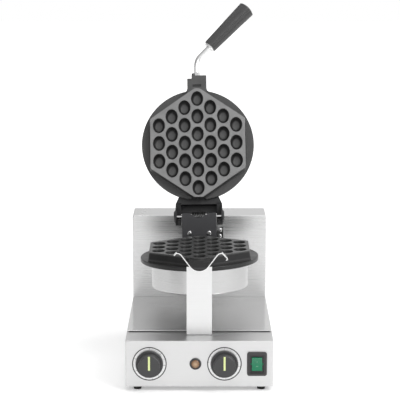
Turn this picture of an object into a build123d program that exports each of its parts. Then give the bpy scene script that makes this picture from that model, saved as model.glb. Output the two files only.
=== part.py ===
from build123d import *
import os
from math import atan, cos, degrees, pi, radians, sin, sqrt

# A counter-top bubble waffle maker. Two round cast irons, hinged at the back, turn together
# about a hollow shaft in the column. The lid is shown open, as in the photograph.
#
# Bench frame: x = 0 is the centre plane, y = 0 the column's front face, z = 0 the table.
# -Y is the front. Every node is moved by column_face_y when it is written, so that the
# part's own origin is the centre of its footprint.
#
# Iron frame: the irons closed and level. x = 0, y as in the bench frame, z = 0 is the mating
# plane, which holds the turning axis (along Y).

# Body
body_width = 250.0
foot_height = 8.0
panel_height = 79.0
column_height = 157.0
panel_to_column = 326.0
column_depth = 86.0
column_face_y = 124.0
sheet = 1.2
half_width = body_width / 2
deck_z = foot_height + panel_height
column_top_z = deck_z + column_height
panel_y = -panel_to_column

# Irons
axis_above_deck = 132.0
axis_z = deck_z + axis_above_deck
iron_roll = -1.0
disc_y = -170.0
flange_radius = 104.0
flange_thickness = 7.4
plateau_height = 16.6
plateau_draft = 3.0
hex_half_flat = 87.5
hex_side_corner = 46.5
hex_vertex = 107.0
hex_side_radius = 8.0
hex_front_radius = 14.0
rear_cut = 101.4
rear_cut_half_width = 14.2
mating_gap = 0.3
lower_lug_radius = 18.6
upper_lug_radius = 18.0
lug_face_drop = 2.5
lower_lug_front_y = -296.0
upper_lug_front_y = -299.0
flange_top = -plateau_height
flange_bottom = flange_top - flange_thickness

# Cups: 30 ovals in columns of 3, 4, 5, 6, 5, 4, 3
cup_column_pitch = 23.8
cup_row_pitch = 33.6
cup_half_width = 11.35
cup_half_length = 14.15
cup_depth = 13.0
cup_floor_radius = 5.6
cups_in_columns = [3, 4, 5, 6, 5, 4, 3]

# Ring heater, its room under the plate, and the insulation
heater_room = 78.0
heater_room_depth = 6.5
heater_ring = 56.0
heater_radius = 4.0
heater_z = flange_bottom + 2.0
sleeve_radius = 4.8
terminal_angle = 14.0
clamp_radius = 72.0
clamp_top = heater_z - heater_radius
clamp_thickness = 2.0
insulation_radius = 81.0
insulation_end = 64.0

# Drums under the irons
drum_radius = 85.0
drum_wall = 1.0
drum_end = 70.5
drum_corner = 3.0

# Hinge
pin_y = -37.0
pin_height = 30.0
pin_radius = 3.0
pin_half_length = 46.5
running_clearance = 0.05
lid_open_angle = 110.0
block_half_width = 31.5
block_front_y = -54.0
block_back_y = -14.0
block_front_top = 36.5
block_back_top = 24.0
barrel_radius = 7.5
recess_half_width = 17.5
recess_floor = 14.0
pad_front_y = -82.0
pad_thickness = 6.0
pad_bolt_x = 22.0
pad_bolt_y = -74.0
cover_thickness = 2.0
cover_half_width = 31.6
cover_top = 40.0
cover_bottom = -18.0
cheek_inner = 33.0
cheek_outer = 43.5
cheek_radius = 16.0
web_back_y = -58.9
web_front_y = -64.0
roof_top = 47.0
roof_back_y = -45.0
roof_thickness = 3.0
lock_screw_x = 36.8
lock_screw_drop = 7.0
lock_screw_seat = 12.5
bracket_face_y = -50.0
bracket_right = 44.0

# Hinge spring
spring_turns = 8
spring_wire = 1.3
spring_coil = 7.2
spring_pitch = 3.2

# Handle, in the lid's own plane
rod_radius = 4.4
rod_height = 9.0
rod_end_y = upper_lug_front_y + 25.0
rod_corner_y = -330.0
handle_angle = 44.5
rod_bend_radius = 26.0
rod_in_grip = 60.0
handle_nut_height = 6.0
handle_screw_x = -7.3
handle_screw_z = 4.8
ferrule_radius = 9.5
ferrule_thickness = 3.5
corner_to_grip = 36.5
grip_length = 104.5
grip_base_radius = 12.35
grip_tip_radius = 15.9
grip_dome = 4.5
groove_radius = 4.5
groove_depth = 1.9
groove_angles = [30, 120, 210, 300]

# Controls, measured from the centre plane and down from the deck
control_drop = 39.5
thermostat_x = -84.2
timer_x = 42.4
lamp_x = -6.5
switch_x = 97.3
control_z = deck_z - control_drop
dial_radius = 29.2
spindle_radius = 3.0
spindle_hole = 5.0
knob_reach = 22.0
knob_gap = 0.8
knob_back_y = panel_y - knob_gap
knob_skirt_radius = 23.2
knob_skirt_front_y = panel_y - 6.0
knob_body_radius = 18.6
knob_taper = 0.6
pointer_proud = 0.3
pointer_depth = 1.2
pointer_half_width = 1.7
pointer_below = 6.0
pointer_above = 17.7
knob_front_y = panel_y - knob_reach + pointer_proud
lamp_body_radius = 8.0
lamp_lens_radius = 7.0
switch_body_half_width = 14.0
switch_body_half_height = 18.0
rocker_half_width = 8.7
rocker_half_height = 11.3
rocker_tilt = 7.0
rocker_y = panel_y - 1.6

# Drip tray
tray_half_width = 118.0
tray_front_y = -260.8
tray_back_y = -1.8
tray_skirt = 9.8
tray_wall = 1.0
tray_top_half_width = 124.6
tray_top_front_y = -263.0
tray_top_back_y = -1.0
tray_top_z = deck_z + 2.4
tray_plate = 0.9
rail_inner = 121.8
finger_notch = 4.0
well_floor_z = deck_z - 10.0

# Front support and its spring
strap_half_width = 21.6
strap_y = -286.0
strap_thickness = 3.0
strap_foot_y = -266.0
strap_top_z = deck_z + 119.0
cradle_clearance = 0.5
cradle_strip = 1.6
notch_radius = lower_lug_radius + cradle_clearance + cradle_strip

# Feet and vents
foot_places = [(-105.0, -309.0), (105.0, -309.0), (-105.0, 62.0), (105.0, 62.0)]
foot_bore = 2.3
vent_length = 60.0

# Electrics
gland_x = 70.0
gland_z = 45.0
gland_thread = 8.0
gland_reach = 14.0
terminal_top_z = foot_height + sheet + 22.0

# Turning shaft in the column
shaft_radius = 11.0
shaft_bore = 7.0
bearing_radius = 15.0
bearing_flange = 23.5
bearing_front_y = -4.0
bearing_back_y = 40.0
shaft_front_y = -14.0
shaft_flange_back_y = -9.0
shaft_back_y = 52.0


def box(x0, x1, y0, y1, z0, z1):
    """A box between two opposite corners."""
    size = Box(x1 - x0, y1 - y0, z1 - z0)
    return Pos((x0 + x1) / 2, (y0 + y1) / 2, (z0 + z1) / 2) * size


def bar_y(radius, x, z, y0, y1):
    """A round bar along Y."""
    bar = Rot(90, 0, 0) * Cylinder(radius, y1 - y0)
    return Pos(x, (y0 + y1) / 2, z) * bar


def bar_z(radius, x, y, z0, z1):
    """A round bar along Z."""
    return Pos(x, y, (z0 + z1) / 2) * Cylinder(radius, z1 - z0)


def bar_x(radius, y, z, x0, x1):
    """A round bar along X."""
    bar = Rot(0, 90, 0) * Cylinder(radius, x1 - x0)
    return Pos((x0 + x1) / 2, y, z) * bar


def profile_y(sketch, y0, y1):
    """A sketch drawn as (x, z) and extruded along Y from y0 to y1."""
    plane = Plane(origin=(0, y0, 0), x_dir=(1, 0, 0), z_dir=(0, -1, 0))
    return extrude(plane * sketch, amount=-(y1 - y0))


def profile_x(sketch, x0, x1):
    """A sketch drawn as (y, z) and extruded along X from x0 to x1."""
    plane = Plane(origin=(x0, 0, 0), x_dir=(0, 1, 0), z_dir=(1, 0, 0))
    return extrude(plane * sketch, amount=x1 - x0)


def on_iron(shape):
    """From the iron frame to the bench frame."""
    return Pos(0, 0, axis_z) * Rot(0, iron_roll, 0) * shape


def on_lid(shape):
    """From the iron frame, lid closed, to the bench frame, lid open."""
    opened = Pos(0, pin_y, pin_height) * Rot(-lid_open_angle, 0, 0) * Pos(0, -pin_y, -pin_height)
    return on_iron(opened * shape)


def pan_screw_y(x, z, face_y, head_radius, head_height, shank_radius, shank_length):
    """A pan-head screw driven towards +Y, its head standing on a face at face_y."""
    head = bar_y(head_radius, x, z, face_y - head_height, face_y)
    head = fillet(head.edges().group_by(Axis.Y)[0], head_height * 0.6)
    slot = box(x - head_radius, x + head_radius, face_y - head_height - 1, face_y - head_height + 0.7,
               z - 0.5, z + 0.5)
    shank = bar_y(shank_radius, x, z, face_y, face_y + shank_length)
    return head - slot + shank


def hex_nut_y(flats, x, z, y0, y1, bore):
    """A hexagon nut on an axis along Y."""
    outline = Pos(x, z) * RegularPolygon(flats / 2, 6, major_radius=False)
    return profile_y(outline - Pos(x, z) * Circle(bore), y0, y1)


# Casing

def base_housing():
    outer = box(-half_width, half_width, panel_y, column_depth, foot_height, deck_z)
    outer = fillet(outer.edges().filter_by(Axis.Z).group_by(Axis.Y)[0], 3.0)
    outer = fillet(outer.edges().group_by(Axis.Z)[-1].sort_by(Axis.Y)[:-1], 0.8)
    inner = box(-half_width + sheet, half_width - sheet, panel_y + sheet, column_depth - sheet,
                foot_height - 1, deck_z - sheet)
    shell = outer - inner
    shell -= box(-tray_half_width - 0.6, tray_half_width + 0.6, tray_front_y - 0.6, tray_back_y + 0.6,
                 deck_z - 5, deck_z + 5)
    shell -= box(-100, 100, 12, 76, deck_z - 5, deck_z + 5)
    for spindle_x in (thermostat_x, timer_x):
        shell -= bar_y(spindle_hole, spindle_x, control_z, panel_y - 5, panel_y + 5)
    shell -= bar_y(lamp_body_radius, lamp_x, control_z, panel_y - 5, panel_y + 5)
    shell -= box(switch_x - switch_body_half_width, switch_x + switch_body_half_width, panel_y - 5,
                 panel_y + 5, control_z - switch_body_half_height, control_z + switch_body_half_height)
    shell -= bar_y(gland_thread, gland_x, gland_z, column_depth - 5, column_depth + 5)
    return shell


def tray_well():
    """The pan that the drip tray drops into, closing the electrics below."""
    outer = box(-121.5, 121.5, -264.0, -0.4, well_floor_z - 1.0, deck_z - sheet)
    inner = box(-120.5, 120.5, -263.0, -1.4, well_floor_z, deck_z)
    return outer - inner


def drip_tray():
    """A flat plate over a skirt that drops into the deck, on two rails along its sides."""
    under = tray_top_z - tray_plate
    plate = box(-tray_top_half_width, tray_top_half_width, tray_top_front_y, tray_top_back_y, under, tray_top_z)
    plate = fillet(plate.edges().group_by(Axis.Z)[-1], 0.6)
    skirt = box(-tray_half_width, tray_half_width, tray_front_y, tray_back_y, deck_z - tray_skirt, under)
    skirt -= box(-tray_half_width + tray_wall, tray_half_width - tray_wall, tray_front_y + tray_wall,
                 tray_back_y - tray_wall, deck_z - tray_skirt - 1, under)
    tray = plate + skirt
    for side in (-1, 1):
        low = min(side * rail_inner, side * tray_top_half_width)
        high = max(side * rail_inner, side * tray_top_half_width)
        tray += box(low, high, tray_top_front_y, tray_top_back_y, deck_z + 0.1, under)
        tray -= bar_z(finger_notch, side * tray_top_half_width, tray_top_back_y, deck_z, tray_top_z + 5)
    return tray


def bottom_plate():
    plate = box(-half_width + sheet, half_width - sheet, panel_y + sheet, column_depth - sheet,
                foot_height, foot_height + sheet)
    for row in range(8):
        y = -220.0 + 18.0 * row
        for side in (-1, 1):
            plate -= box(side * 50 - vent_length / 2, side * 50 + vent_length / 2, y, y + 4,
                         foot_height - 1, foot_height + 5)
    for x, y in foot_places:
        plate -= bar_z(foot_bore, x, y, foot_height - 1, foot_height + 5)
    return plate


def rubber_feet():
    feet = []
    for x, y in foot_places:
        foot = Pos(x, y, foot_height / 2) * Cone(6.6, 7.6, foot_height)
        foot -= bar_z(3.9, x, y, -1, 4.0)
        foot -= bar_z(foot_bore, x, y, 3.5, foot_height + 1)
        feet.append(foot)
    return Compound(children=feet)


def foot_screws():
    screws = []
    for x, y in foot_places:
        head = bar_z(3.7, x, y, 2.0, 4.0)
        screws.append(head + bar_z(2.0, x, y, 4.0, foot_height + 6))
    return Compound(children=screws)


def column_shell():
    outer = box(-half_width, half_width, 0, column_depth, deck_z, column_top_z)
    top_sides = outer.edges().filter_by(Axis.Y).group_by(Axis.Z)[-1]
    outer = fillet(top_sides, 2.5)
    outer = fillet(outer.faces().sort_by(Axis.Y)[0].edges().group_by(Axis.Z)[-1], 1.2)
    inner = box(-half_width + sheet, half_width - sheet, sheet, column_depth + 1,
                deck_z - 1, column_top_z - sheet)
    inner = fillet(inner.edges().filter_by(Axis.Y).group_by(Axis.Z)[-1], 1.3)
    shell = outer - inner
    flange_y = column_depth - sheet
    flange = box(-half_width + sheet, half_width - sheet, flange_y - sheet, flange_y, deck_z,
                 column_top_z - sheet)
    flange &= inner
    flange -= box(-half_width + 12, half_width - 12, flange_y - 5, flange_y + 5, deck_z + 10,
                  column_top_z - 12)
    shell += flange
    shell -= bar_y(bearing_radius, 0, axis_z, -5, 5)
    for screw in cover_screw_list():
        shell -= screw
    return shell


def back_cover():
    cover_y = column_depth - sheet
    cover = box(-half_width + 1.5, half_width - 1.5, cover_y, column_depth, deck_z + 0.3,
                column_top_z - 1.5)
    cover = fillet(cover.edges().filter_by(Axis.Y).group_by(Axis.Z)[-1], 1.5)
    for row in range(7):
        z = deck_z + 30 + 14.0 * row
        for side in (-1, 1):
            slot = Pos(side * 52, z) * SlotOverall(62, 4.5)
            cover -= profile_y(slot, cover_y - 3, column_depth + 3)
    for screw in cover_screw_list():
        cover -= screw
    return cover


def cover_screw_list():
    """Six small screws in the back cover, each driven towards -Y."""
    screws = []
    for z in (deck_z + 8, deck_z + 78, column_top_z - 10):
        for side in (-1, 1):
            head = bar_y(3.2, side * 118, z, column_depth, column_depth + 1.8)
            head = fillet(head.edges().group_by(Axis.Y)[-1], 1.0)
            screws.append(head + bar_y(1.6, side * 118, z, column_depth - 2 * sheet, column_depth))
    return screws


# Front support and its spring

def front_support():
    """A strap with a short foot on the deck behind it and a round notch at its top."""
    back_y = strap_y + strap_thickness
    outline = Polygon((strap_y, deck_z), (strap_foot_y, deck_z), (strap_foot_y, deck_z + strap_thickness),
                      (back_y, deck_z + strap_thickness), (back_y, strap_top_z), (strap_y, strap_top_z),
                      align=None)
    corner = outline.vertices().sort_by(Axis.X).sort_by(Axis.Y)[0]
    outline = fillet(corner, 2.6)
    strap = profile_x(outline, -strap_half_width, strap_half_width)
    return strap - bar_y(notch_radius + running_clearance, 0, axis_z, strap_y - 5, strap_y + 10)


def arc_point(centre, radius, angle, side):
    """A point on an arc, by its angle from upright, mirrored to the left when side is -1."""
    return (side * (centre[0] + radius * sin(angle)), centre[1] + radius * cos(angle))


def cradle_spring():
    """A bent strip: a saddle under the lug, two sloping arms, and lips turned down outwards."""
    middle = lower_lug_radius + cradle_clearance + cradle_strip / 2
    wrap = 53.0
    arm = 23.8
    shoulder_bend = 10.0
    crest_bend = 1.5
    lip_slope = 46.0
    hook = 1.6
    heading = radians(wrap)
    drop = radians(lip_slope)
    faces = [trace(CenterArc((0, 0), middle, 270 - wrap, 2 * wrap), cradle_strip)]
    for side, lip in ((-1, 5.0), (1, 12.0)):
        start = (middle * sin(heading), -middle * cos(heading))
        shoulder = (start[0] + arm * cos(heading), start[1] + arm * sin(heading))
        centre = (shoulder[0] + shoulder_bend * sin(heading), shoulder[1] - shoulder_bend * cos(heading))
        crest = (centre[0], centre[1] + shoulder_bend - crest_bend)
        crest_end = (crest[0] + crest_bend * sin(drop), crest[1] + crest_bend * cos(drop))
        lip_end = (crest_end[0] + lip * cos(drop), crest_end[1] - lip * sin(drop))
        lines = [Line((side * start[0], start[1]), (side * shoulder[0], shoulder[1])),
                 ThreePointArc(arc_point(centre, shoulder_bend, -heading, side),
                               arc_point(centre, shoulder_bend, -heading / 2, side),
                               arc_point(centre, shoulder_bend, 0, side)),
                 ThreePointArc(arc_point(crest, crest_bend, 0, side),
                               arc_point(crest, crest_bend, drop / 2, side),
                               arc_point(crest, crest_bend, drop, side)),
                 Line((side * crest_end[0], crest_end[1]), (side * lip_end[0], lip_end[1]))]
        for line in lines:
            faces.append(trace(line, cradle_strip))
        if side > 0:
            hook_centre = (lip_end[0] - hook * sin(drop), lip_end[1] - hook * cos(drop))
            faces.append(trace(CenterArc(hook_centre, hook, -lip_slope - 90, 180), cradle_strip * 0.7))
    outline = Sketch() + faces
    strip = profile_y(outline, strap_y - 3.5, strap_y + 6.5)
    return Pos(0, 0, axis_z) * strip


# Controls

def dial(x):
    plate = profile_y(Pos(x, control_z) * (Circle(dial_radius) - Circle(spindle_hole)),
                      panel_y - 0.5, panel_y)
    return plate


def knob(x):
    skirt = bar_y(knob_skirt_radius, x, control_z, knob_skirt_front_y, knob_back_y)
    skirt = fillet(skirt.edges().group_by(Axis.Y)[0], 1.2)
    body = Rot(90, 0, 0) * Cone(knob_body_radius + knob_taper, knob_body_radius - knob_taper,
                                knob_skirt_front_y - knob_front_y)
    body = Pos(x, (knob_skirt_front_y + knob_front_y) / 2, control_z) * body
    body = fillet(body.edges().group_by(Axis.Y)[0], 1.0)
    whole = skirt + body
    whole -= bar_y(spindle_radius, x, control_z, knob_front_y + 4, knob_back_y + 1)
    return whole - pointer(x)


def pointer(x):
    """A pale inlay in the knob's face, standing a little proud of it."""
    return box(x - pointer_half_width, x + pointer_half_width, knob_front_y - pointer_proud,
               knob_front_y + pointer_depth, control_z - pointer_below, control_z + pointer_above)


def spindle(x):
    return bar_y(spindle_radius, x, control_z, knob_front_y + 4, panel_y + 24)


def control_body(x, half_width_x, depth):
    """The switch block behind the panel that a knob's spindle turns in."""
    body = box(x - half_width_x, x + half_width_x, panel_y + sheet + 1.5, panel_y + sheet + depth,
               control_z - 17, control_z + 17)
    body = fillet(body.edges().filter_by(Axis.Y), 3.0)
    body += bar_y(spindle_hole - 0.5, x, control_z, panel_y + 0.2, panel_y + sheet + 2)
    body -= bar_y(spindle_radius + running_clearance, x, control_z, panel_y - 1, panel_y + 24.5)
    return body


def lamp_housing():
    ring = bar_y(9.9, lamp_x, control_z, panel_y - 2.6, panel_y)
    ring = fillet(ring.edges().group_by(Axis.Y)[0], 1.0)
    body = bar_y(lamp_body_radius, lamp_x, control_z, panel_y, panel_y + 24)
    whole = ring + body
    return whole - bar_y(lamp_lens_radius, lamp_x, control_z, panel_y - 5, panel_y - 0.8)


def lamp_lens():
    lens = bar_y(lamp_lens_radius, lamp_x, control_z, panel_y - 4.2, panel_y - 0.8)
    return fillet(lens.edges().group_by(Axis.Y)[0], 2.4)


def switch_housing():
    outline = Pos(switch_x, control_z) * RectangleRounded(33.5, 41.0, 4.0)
    bezel = profile_y(outline, panel_y - 3.5, panel_y)
    bezel = fillet(bezel.edges().group_by(Axis.Y)[0], 0.9)
    bezel -= profile_y(Pos(switch_x, control_z) * RectangleRounded(24.5, 32.0, 2.0),
                       panel_y - 5, panel_y - 1.2)
    body = box(switch_x - switch_body_half_width, switch_x + switch_body_half_width, panel_y - 1.2,
               panel_y + 26, control_z - switch_body_half_height, control_z + switch_body_half_height)
    whole = bezel + body
    whole -= box(switch_x - rocker_half_width - 0.5, switch_x + rocker_half_width + 0.5, panel_y - 5,
                 panel_y + 9, control_z - rocker_half_height - 1.2, control_z + rocker_half_height + 1.2)
    whole -= bar_x(1.5 + running_clearance, rocker_y, control_z, switch_x - rocker_half_width - 2.2,
                   switch_x + rocker_half_width + 2.2)
    return whole


def switch_rocker():
    """A rocker with a shallow hollow face, its top half pressed in."""
    body = box(switch_x - rocker_half_width, switch_x + rocker_half_width, -3.2, 4.5,
               -rocker_half_height, rocker_half_height)
    body = fillet(body.edges().filter_by(Axis.X), 0.8)
    hollow_radius = 60.0
    body -= bar_x(hollow_radius, -3.2 - hollow_radius + 1.0, 0, switch_x - 20, switch_x + 20)
    body += bar_x(1.5, 0, 0, switch_x - rocker_half_width - 2, switch_x + rocker_half_width + 2)
    tilted = Rot(-rocker_tilt, 0, 0) * body
    return Pos(0, rocker_y, control_z) * tilted


# Wiring behind the panel and up the column

def cable_gland():
    inside = hex_nut_y(22, gland_x, gland_z, column_depth - sheet - 6, column_depth - sheet, gland_thread)
    neck = bar_y(gland_thread, gland_x, gland_z, column_depth - sheet - 6, column_depth)
    outside = hex_nut_y(24, gland_x, gland_z, column_depth, column_depth + 7, 2.0)
    dome = bar_y(10.0, gland_x, gland_z, column_depth + 7, column_depth + gland_reach)
    dome = fillet(dome.edges().group_by(Axis.Y)[-1], 3.0)
    whole = inside + neck + outside + dome
    return whole - bar_y(4.0, gland_x, gland_z, column_depth - 20, column_depth + 30)


def terminal_block():
    block = box(-30, 30, 34, 54, foot_height + sheet, terminal_top_z)
    for way in range(4):
        x = -22.0 + 14.7 * way
        block -= bar_z(2.5, x, 40, terminal_top_z - 6, terminal_top_z + 1)
        block -= bar_z(2.5, x, 49, terminal_top_z - 6, terminal_top_z + 1)
    return block


def tube(points, bend, radius):
    """A round tube along straight runs joined by tangent arcs."""
    path = FilletPolyline(*points, radius=bend)
    start = Plane(origin=path @ 0, z_dir=path % 0)
    return sweep(start * Circle(radius), path=path)


def wire_loom():
    up = tube([(0, 44.5, terminal_top_z), (0, 44.5, 120), (0, 66, 165), (0, 66, axis_z - 12)], 30, 3.0)
    forward = tube([(0, 34, 20), (0, -120, 20), (20, -290, 30)], 60, 3.0)
    return up + forward


def capillary_tube():
    """The thin copper tube of the thermostat's sensor, run back to the column."""
    start_y = panel_y + sheet + 30
    return tube([(thermostat_x, start_y, control_z), (thermostat_x, -230, control_z), (-70, -60, 30),
                 (-60, 62, 60), (-60, 62, 190)], 24, 1.0)


# Shaft and bearing

def shaft_bearing():
    flange = bar_y(bearing_flange, 0, axis_z, bearing_front_y, 0)
    sleeve = bar_y(bearing_radius, 0, axis_z, 0, bearing_back_y)
    return flange + sleeve - bar_y(shaft_radius + running_clearance, 0, axis_z, -10, bearing_back_y + 5)


def bearing_nut():
    return hex_nut_y(42, 0, axis_z, sheet, sheet + 8, bearing_radius)


def stop_block():
    """A post beside the shaft, fixed to the column's front wall, that ends the shaft's turn."""
    arm = box(26, 34, sheet, shaft_back_y, axis_z - 5, axis_z + 5)
    foot = box(26, 58, sheet, sheet + 3, axis_z - 12, axis_z + 12)
    return arm + foot


def swivel_shaft():
    flange = bar_y(bearing_flange, 0, 0, shaft_front_y, shaft_flange_back_y)
    stem = bar_y(shaft_radius, 0, 0, shaft_front_y, shaft_back_y)
    return flange + stem - bar_y(shaft_bore, 0, 0, -20, 60)


def shaft_collar():
    """The collar that keeps the shaft in its bearing, with a pin that meets the stop block."""
    ring = bar_y(18.0, 0, 0, bearing_back_y + 0.5, shaft_back_y)
    pin = bar_z(3.0, 0, 46.0, -29.0, -shaft_radius - 0.5)
    return ring + pin - bar_y(shaft_radius, 0, 0, 30, 60)


def lead_cable():
    return bar_y(4.0, 0, 0, -32.0, 58.0)


# Irons, in the iron frame with z = 0 at the mating plane

def hexagon(grow):
    """The plateau's outline, with its vertices at the front and back, grown by a margin."""
    corner_x = hex_half_flat + grow
    corner_y = hex_side_corner + grow * 0.6
    tip = hex_vertex + grow * 1.2
    outline = Polygon((corner_x, corner_y), (0, tip), (-corner_x, corner_y),
                      (-corner_x, -corner_y), (0, -tip), (corner_x, -corner_y), align=None)
    sides = [corner for corner in outline.vertices() if abs(corner.X) > hex_half_flat / 2]
    outline = fillet(sides, hex_side_radius)
    return fillet(outline.vertices().sort_by(Axis.Y)[0], hex_front_radius)


def cup_cutter():
    """One oval cup below z = 0: a steep wall, a round corner and a flat floor."""
    wall = Line((cup_half_width + 0.25, 1.0), (cup_half_width - 0.9, -5.5))
    floor_edge = (cup_floor_radius, -cup_depth)
    corner = ThreePointArc(wall @ 1, (cup_half_width - 2.9, -10.6), floor_edge)
    floor = Line(floor_edge, (0, -cup_depth))
    axis_line = Line((0, -cup_depth), (0, 1.0))
    top = Line((0, 1.0), wall @ 0)
    half = make_face(Plane.XZ * (Curve() + [wall, corner, floor, axis_line, top]))
    round_cup = revolve(half, Axis.Z)
    return scale(round_cup, by=(1, cup_half_length / cup_half_width, 1))


def cup_places():
    places = []
    middle_column = (len(cups_in_columns) - 1) / 2
    for column, count in enumerate(cups_in_columns):
        x = (column - middle_column) * cup_column_pitch
        for row in range(count):
            y = (row - (count - 1) / 2) * cup_row_pitch
            places.append((x, y))
    return places


def cast_plate(lug_front_y, lug_radius):
    """A round flange, the raised hexagon with its cups, and half of the front lug."""
    face = -mating_gap / 2
    flange = bar_z(flange_radius, 0, 0, flange_bottom, flange_top)
    flange = fillet(flange.edges().filter_by(GeomType.CIRCLE), 1.2)
    top = Pos(0, 0, face) * hexagon(0)
    foot = Pos(0, 0, flange_top - 1) * hexagon(plateau_draft)
    plateau = loft([foot.face(), top.face()], ruled=True)
    plate = flange + plateau
    lug_length = disc_y - lug_front_y
    lug = bar_y(lug_radius, 0, 0, -lug_length, -60)
    lug = fillet(lug.edges().group_by(Axis.Y)[0], 1.2)
    lug &= box(-lug_radius, lug_radius, -lug_length - 5, 0, -lug_radius, face - lug_face_drop)
    neck_front = -107.3
    neck = Circle(flange_radius - 0.5) + Pos(0, neck_front / 2) * Rectangle(36.5, -neck_front)
    neck_corners = neck.vertices().group_by(Axis.Y)[1]
    neck = fillet(neck_corners, 6.0)
    neck = Pos(0, 0, flange_top - 2.3) * neck
    plate = plate + lug + extrude(neck, amount=2.3)
    plate -= box(-rear_cut_half_width, rear_cut_half_width, rear_cut, flange_radius + 10, flange_bottom - 1, 1)
    plate -= bar_z(heater_room, 0, 0, flange_bottom - 1, flange_bottom + heater_room_depth)
    cutter = cup_cutter()
    plate -= [Pos(x, y, face) * cutter for x, y in cup_places()]
    return Pos(0, disc_y, 0) * plate


def lower_plate():
    plate = cast_plate(lower_lug_front_y, lower_lug_radius)
    for bolt in pad_bolts(-1):
        plate -= bolt
    return plate - centre_bolt()


def upper_plate():
    plate = mirror(cast_plate(upper_lug_front_y, upper_lug_radius), about=Plane.XY)
    plate -= box(-30, -9.6, upper_lug_front_y - 5, upper_lug_front_y + 6, -5, 30)
    pocket_y = disc_y - 109.3
    plate -= box(-8, 8, pocket_y - 2.25, pocket_y + 2.25, 0, lug_face_drop + mating_gap / 2 + 1.2)
    plate -= bar_y(rod_radius, 0, rod_height, upper_lug_front_y - 5, rod_end_y)
    plate -= handle_lock_screw()
    plate -= mirror(centre_bolt(), about=Plane.XY)
    for bolt in pad_bolts(1):
        plate -= bolt
    return plate


def drum():
    shell = bar_z(drum_radius, 0, disc_y, -drum_end, flange_bottom)
    shell = fillet(shell.edges().group_by(Axis.Z)[0], drum_corner)
    inner = bar_z(drum_radius - drum_wall, 0, disc_y, -drum_end + drum_wall, flange_bottom + 1)
    inner = fillet(inner.edges().group_by(Axis.Z)[0], drum_corner - drum_wall)
    return shell - inner - centre_bolt()


def heater():
    """A sheathed ring heater: an open ring whose two ends turn down."""
    ring = CenterArc((0, 0), heater_ring, 90 + terminal_angle, 360 - 2 * terminal_angle)
    start = Plane(origin=ring @ 0, z_dir=ring % 0)
    body = sweep(start * Circle(heater_radius), path=ring)
    for end in (ring @ 0, ring @ 1):
        body += bar_z(sleeve_radius, end.X, end.Y, -26, heater_radius - 0.2)
    return Pos(0, disc_y, heater_z) * body


def leg_places():
    angle = radians(90 + terminal_angle)
    return [(heater_ring * cos(angle), disc_y + heater_ring * sin(angle)),
            (-heater_ring * cos(angle), disc_y + heater_ring * sin(angle))]


def disc_with_leg_holes(radius, z0, z1):
    disc = bar_z(radius, 0, disc_y, z0, z1)
    for x, y in leg_places():
        disc -= bar_z(sleeve_radius + 0.7, x, y, z0 - 1, z1 + 1)
    return disc - centre_bolt()


def heater_clamp():
    return disc_with_leg_holes(clamp_radius, clamp_top - clamp_thickness, clamp_top)


def insulation():
    return disc_with_leg_holes(insulation_radius, -insulation_end, clamp_top - clamp_thickness - 1.0)


def centre_bolt():
    """A stud from the plate through the drum's end, with a domed nut."""
    stud = bar_z(3.0, 0, disc_y, -drum_end - 3, flange_bottom + 8)
    nut = Pos(0, disc_y, -drum_end - 4) * extrude(RegularPolygon(5, 6, major_radius=False), amount=4)
    dome = bar_z(4.6, 0, disc_y, -drum_end - 8, -drum_end - 4)
    dome = fillet(dome.edges().group_by(Axis.Z)[0], 3.0)
    return stud + nut + dome


# Hinge, in the iron frame

def pad_bolts(side):
    """Two hexagon bolts through a mounting pad into a flange: side -1 is below, 1 above."""
    bolts = []
    for x in (-pad_bolt_x, pad_bolt_x):
        pad_face = flange_bottom - pad_thickness
        hexagon_head = extrude(RegularPolygon(4.5, 6, major_radius=False), amount=3.5)
        head = Pos(x, pad_bolt_y, pad_face - 3.5) * hexagon_head
        shank = bar_z(2.5, x, pad_bolt_y, pad_face, flange_bottom + 5.5)
        bolt = head + shank
        bolts.append(bolt if side < 0 else mirror(bolt, about=Plane.XY))
    return bolts


def hinge_block():
    """The lower half of the hinge: a block on a pad, with a barrel on each side of a recess."""
    bottom = flange_bottom - pad_thickness
    inside = barrel_radius - 0.4
    slant = inside * sqrt(0.5)
    outline = Polygon((block_front_y, bottom), (block_back_y, bottom), (block_back_y, block_back_top),
                      (pin_y + slant, pin_height + slant), (pin_y, pin_height + inside),
                      (block_front_y, block_front_top), align=None)
    body = profile_x(outline, -block_half_width, block_half_width)
    body += bar_x(barrel_radius, pin_y, pin_height, -block_half_width, block_half_width)
    pad = box(-block_half_width, block_half_width, pad_front_y, block_front_y, bottom, flange_bottom)
    block = body + pad
    block -= box(-recess_half_width, recess_half_width, block_front_y - 5, block_back_y - 5, recess_floor, 60)
    block -= bar_x(pin_radius + running_clearance, pin_y, pin_height, -50, 50)
    block -= bar_y(shaft_bore, 0, 0, -36, 0)
    for screw in front_screws() + pad_bolts(-1):
        block -= screw
    return block


def hinge_cover():
    """A plate over the block's front with a curved notch that shows the spring."""
    outline = Polygon((-cover_half_width, cover_bottom), (cover_half_width, cover_bottom),
                      (cover_half_width, cover_top), (-cover_half_width, cover_top), align=None)
    outline = fillet(outline.vertices().group_by(Axis.Y)[-1], 2.5)
    notch_depth = 8.5
    notch_half_width = 17.0
    notch = (notch_half_width ** 2 + notch_depth ** 2) / (2 * notch_depth)
    outline -= Pos(0, cover_top - notch_depth + notch) * Circle(notch)
    lips = [corner for corner in outline.vertices().group_by(Axis.Y)[-1]
            if abs(abs(corner.X) - notch_half_width) < 1]
    outline = fillet(lips, 3.0)
    cover = profile_y(outline, block_front_y - cover_thickness, block_front_y)
    for screw in front_screws():
        cover -= screw
    return cover


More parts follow.
